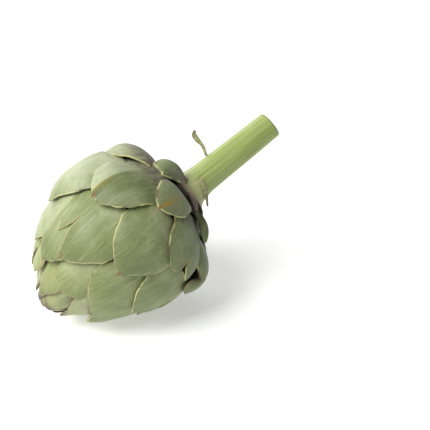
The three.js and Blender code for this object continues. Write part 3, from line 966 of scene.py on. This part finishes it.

# %% [markdown]
# ## Bract skin
#
# Real bracts are living leaf: a matt green skin under a thin grey bloom of wax. That gives the eye
# a soft surface with no hard gloss, and a pale sheen where it turns away. One green noise would
# look like felt, so each layer of the colour has a cause: the inner bracts are fresher, the wax
# lies in patches, fine lines run from root to tip, coarser than the real ones so that they show,
# the foot is flushed with purple, and the margin is dry and straw-coloured, browned in places.
# Some of it is painted light and shade: the bracts at the bud are paler, each bract is paler
# towards its root and darker at its tip, some bracts are paler or darker as a whole, a creased
# bract is pale above its fold and dark below it, and the foot against the joint is painted deep
# shade.

# %% Bract skin: numbers and patterns
bract_material, tree = new_material("waxy artichoke bract")
STORED = "from_tip sideways from_margin rank bloom flush spine streak withered browned shade"
read = {
    label: add_node(tree, "Attribute", None, {"attribute_name": label}).outputs["Fac"]
    for label in STORED.split()
}
leaf_place = {"X": read["sideways"], "Y": read["from_tip"], "Z": read["rank"]}
on_leaf = add_node(tree, "CombineXYZ", leaf_place).outputs[0]
# Waves per mm sideways and along; the third makes each bract different.
BRACT_PATTERNS = {
    "lines": ((0.9, 0.05, 3.1), 3.0, 0.75),  # 1.1 mm apart and 20 mm long
    "patches": ((0.06, 0.04, 5.7), 3.0, 0.6),  # 17 by 25 mm
    "mottle": ((0.35, 0.2, 4.1), 3.0, 0.6),  # 3 by 5 mm
    "specks": ((0.9, 0.4, 1.3), 4.0, 0.8),  # 1.1 by 2.5 mm, and finer
    "edge": ((0.13, 0.13, 2.3), 3.0, 0.6),  # 8 mm
}
add_patterns(tree, read, on_leaf, BRACT_PATTERNS)
print("can place a layer:", ", ".join(read))

# %% Bract skin: layers
BRACT_LAYERS = [
    ("#868f52", 1.0, [("rank", 6, 36)]),  # fresher towards the bud
    # painted light: the bracts at the bud paler, as if lit from below
    ("#a6aa76", 0.6, [("rank", 28, 40)]),
    ("#a7ad86", 0.6, [("patches", 0.42, 0.7)]),  # bloom of wax
    # pale with wax and painted light above 0, darker green with painted shade below 0
    ("#b9be9c", 0.6, [("bloom", 0, 1.2)]),
    ("#586636", 0.7, [("bloom", 0, -1.2)]),
    ("#6c764c", 0.45, [("patches", 0.46, 0.3)]),  # where the bloom is rubbed off
    ("#746c5e", 0.7, [("flush", 0.1, 0.9)]),  # purple flush at the foot
    ("#54413f", 0.6, [("flush", 0.1, 0.8), ("mottle", 0.42, 0.6)]),
    ("#32251f", 0.95, [("shade", 0.3, 0.9)]),  # dark against the joint
    ("#b0b885", 0.28, [("lines", 0.5, 0.7)]),
    ("#5e6a40", 0.28, [("lines", 0.5, 0.3)]),
    ("#66734a", 0.3, [("mottle", 0.46, 0.28)]),
    ("#a8b07e", 0.22, [("specks", 0.5, 0.7)]),
    ("#55603b", 0.28, [("specks", 0.5, 0.3)]),
    ("#8d7a55", 0.35, [("from_margin", 2.6, 0.2), ("edge", 0.5, 0.7)]),  # drying inwards
    ("#cfc98a", 0.75, [("from_margin", 0.8, 0.3), ("edge", 0.58, 0.44)]),  # dry rim
    ("#6d4b3c", 0.85, [("from_margin", 0.8, 0.25), ("edge", 0.55, 0.63)]),  # browned rim
    ("#5c3f33", 0.9, [("from_margin", 1.0, 0.3), ("browned", 0, 1)]),
    ("#57433e", 0.9, [("withered", 0, 1)]),
    ("#9a9048", 0.7, [("streak", 0, 0.45)]),  # dry streak up from the spine
    ("#b3803f", 0.95, [("streak", 0.4, 0.95)]),
    ("#86603e", 0.9, [("spine", 0.05, 0.7)]),
]
colour = layered_colour(tree, read, "#7a8456", BRACT_LAYERS)
print(len(BRACT_LAYERS), "layers")

# %% Bract skin: surface
RELIEF = 0.0002  # metres: a fifth of a millimetre
LEAF_IOR = 1.45  # of leaf wax

normal = None
for label, strength in (("lines", 0.35), ("specks", 0.35), ("mottle", 0.25)):
    relief = {"Strength": strength, "Distance": RELIEF, "Height": read[label]}
    if normal:
        relief["Normal"] = normal
    normal = add_node(tree, "Bump", relief).outputs[0]
rough = {"Value": read["specks"], "From Min": 0.3, "From Max": 0.7, "To Min": 0.5, "To Max": 0.62}
surface = {
    "Base Color": colour,
    "Roughness": add_node(tree, "MapRange", rough).outputs[0],
    "IOR": LEAF_IOR,
    "Sheen Weight": 0.14,  # wax
    "Sheen Roughness": 0.45,
    "Normal": normal,
}
dress(bract_pieces.values(), bract_material, surface)

# %% [markdown]
# ## Receptacle flesh
#
# The base is the same living tissue, but its colour is painted shade: a very dark olive brown with
# darker patches, so that the gaps between the bracts stay dark. It is dull because it has no wax.
# Black would do for a gap, but where light does reach it, it should look grown.

# %% Receptacle flesh
painted_shade_flesh_material, tree = new_material("receptacle flesh in painted shade")
read = {}
position = add_node(tree, "NewGeometry").outputs["Position"]
# 160 waves per metre: some 6 mm wide
add_patterns(tree, read, position, {"patches": ((160, 160, 160), 3.0, 0.6)})
# painted shade: near black, with darker patches
colour = layered_colour(tree, read, "#1c1913", [("#100e0b", 0.8, [("patches", 0.4, 0.65)])])
surface = {"Base Color": colour, "Roughness": 0.8, "Specular IOR Level": 0.1}
dress([receptacle], painted_shade_flesh_material, surface)

# %% [markdown]
# ## Stalk skin
#
# The stalk is fresher than the bracts and has less wax, which gives the eye a smoother, juicier
# green with pale lines along its ribs. Where it flares it is paler, the joint is a dark, corky
# line, and the cut face is cream with a browned rim. Each could be a material of its own, but then
# they would meet in hard edges, so they are layers of one.

# %% Stalk skin: numbers and patterns
stalk_material, tree = new_material("ribbed artichoke stalk")
read = {
    label: add_node(tree, "Attribute", None, {"attribute_name": label}).outputs["Fac"]
    for label in ("away", "turn", "from_middle", "scar", "cut")
}
circle = {
    axis: add_node(tree, "Math", {0: read["turn"]}, {"operation": wave}).outputs[0]
    for axis, wave in (("X", "COSINE"), ("Y", "SINE"))
}
on_stalk = add_node(tree, "CombineXYZ", {**circle, "Z": read["away"]}).outputs[0]
# Waves per stem radius (9.5 mm) across, and per mm along.
STALK_PATTERNS = {
    "stripes": ((11, 11, 0.02), 3.0, 0.6),  # 0.9 mm wide and 50 mm long
    "patches": ((1.6, 1.6, 0.05), 2.0, 0.5),  # 6 by 20 mm
    "specks": ((9, 9, 0.9), 3.0, 0.6),  # 1.1 mm
}
add_patterns(tree, read, on_stalk, STALK_PATTERNS)
print("can place a layer:", ", ".join(read))

# %% Stalk skin: layers and surface
STALK_LAYERS = [
    ("#a6b372", 0.5, [("patches", 0.4, 0.65)]),
    ("#bfc98e", 0.45, [("stripes", 0.5, 0.68)]),
    ("#83914f", 0.45, [("stripes", 0.48, 0.32)]),
    ("#8d9857", 0.3, [("specks", 0.45, 0.3)]),
    ("#cfd3a0", 0.6, [("away", 9, 1)]),  # paler where it flares
    ("#a3857c", 0.6, [("away", 0.5, -3)]),
    ("#5f4440", 0.8, [("away", -2.2, -4.2), ("specks", 0.46, 0.6)]),
    ("#43302a", 1.0, [("away", -3.9, -4.7)]),  # corky line at the joint
    ("#2b2222", 0.9, [("away", -5, -5.8)]),
    ("#5a4238", 0.9, [("scar", 0.2, 0.7)]),  # where a leaflet grew
    ("#cfcf9c", 1.0, [("cut", 0.3, 0.9)]),  # cut face, with its ring of vessels and its rim
    ("#b3bd80", 0.6, [("cut", 0.3, 0.9), ("from_middle", 4.2, 6)]),
    ("#a08e5c", 0.5, [("cut", 0.3, 0.9), ("from_middle", 7, 8)]),
]
colour = layered_colour(tree, read, "#96a457", STALK_LAYERS)
relief = {"Strength": 0.4, "Distance": RELIEF, "Height": read["stripes"]}
surface = {
    "Base Color": colour,
    "Roughness": 0.5,
    "IOR": LEAF_IOR,
    "Sheen Weight": 0.06,
    "Sheen Roughness": 0.5,
    "Normal": add_node(tree, "Bump", relief).outputs[0],
}
dress([stalk], stalk_material, surface)

# %% [markdown]
# ## Withered leaf
#
# The leaflets have dried on the plant: straw and olive, and brown at the ends. No wax is left,
# which gives the eye a dull, crumpled strip. With the stalk's skin they would look alive, so they
# have a recipe of their own.

# %% Withered leaf
withered_material, tree = new_material("withered leaf")
read = {"along": add_node(tree, "Attribute", None, {"attribute_name": "along"}).outputs["Fac"]}
position = add_node(tree, "NewGeometry").outputs["Position"]
# 400 waves per metre: 2.5 mm wide
add_patterns(tree, read, position, {"patches": ((400, 400, 400), 3.0, 0.6)})
WITHERED_LAYERS = [
    ("#b3ad80", 1.0, [("patches", 0.4, 0.65)]),
    ("#4f3a2c", 0.9, [("along", 0.24, 0.04)]),
    ("#6b5a45", 0.6, [("along", 0.9, 1.0)]),
]
colour = layered_colour(tree, read, "#8c8f63", WITHERED_LAYERS)
relief = {"Strength": 0.5, "Distance": 0.0003, "Height": read["patches"]}
normal = add_node(tree, "Bump", relief).outputs[0]
surface = {"Base Color": colour, "Roughness": 0.75, "Normal": normal}
dress([bpy.data.objects[name] for name in LEAFLETS], withered_material, surface)

# %% [markdown]
# ## Floor, light and camera
#
# The artichoke lies on white paper under soft studio light. Many lamps could give that, but one
# large light from the upper left, a weaker one from behind and a faint surround leave one soft
# shadow. The paper glows a little, as if more light fell on it.

# %% Floor
bpy.ops.mesh.primitive_plane_add(size=6, location=(0, 0, 0))
floor = bpy.context.object
floor.name = "floor"
floor_material, tree = new_material("matt white paper")
white = linear("#f4f4f4")
glow = {"Emission Color": white, "Emission Strength": 0.45}
surface = {"Base Color": white, "Roughness": 0.6, **glow}
dress([floor], floor_material, surface)

# %% Camera
RIGHT = Vector((0.8543, -0.5198, 0.0)).normalized()
FORWARD = Vector((0.4359, 0.7163, -0.5449)).normalized()
UP = RIGHT.cross(FORWARD)
EYE = (-0.24436, -0.46988, 0.39889)  # metres
LENS = 84.98  # mm

camera = bpy.data.objects.new("camera", bpy.data.cameras.new("camera"))
camera.data.sensor_width = 36
camera.data.lens = LENS
rows = [(RIGHT[i], UP[i], -FORWARD[i], EYE[i]) for i in range(3)]
camera.matrix_world = Matrix((*rows, (0, 0, 0, 1)))
bpy.context.scene.collection.objects.link(camera)
bpy.context.scene.camera = camera
print(f"the camera looks {math.degrees(math.asin(-FORWARD.z)):.0f} degrees down")

# %% Light
TARGET = Vector((-0.02, 0, 0.05))
LIGHT_AWAY = 1.3  # metres
LIGHT_SIZE = 0.9
LIGHTS = {"key": ((-0.643, 0, 0.766), 24), "rim": ((0, 0.94, 0.34), 10)}  # direction, watts

for name, (direction, power) in LIGHTS.items():
    light = bpy.data.lights.new(name, "AREA")
    light.size = LIGHT_SIZE
    light.energy = power
    away = LIGHT_AWAY * Vector(direction)
    lamp = bpy.data.objects.new(name, light)
    lamp.location = TARGET + away
    lamp.rotation_euler = (-away).to_track_quat("-Z", "Y").to_euler()
    bpy.context.scene.collection.objects.link(lamp)
world = bpy.data.worlds.new("white surround")
world.use_nodes = True
surround = world.node_tree.nodes["Background"]
surround.inputs["Color"].default_value = (1, 1, 1, 1)
surround.inputs["Strength"].default_value = 0.08
bpy.context.scene.world = world
bpy.context.scene.view_settings.view_transform = "Standard"
print(len(LIGHTS), "lights and a white surround")
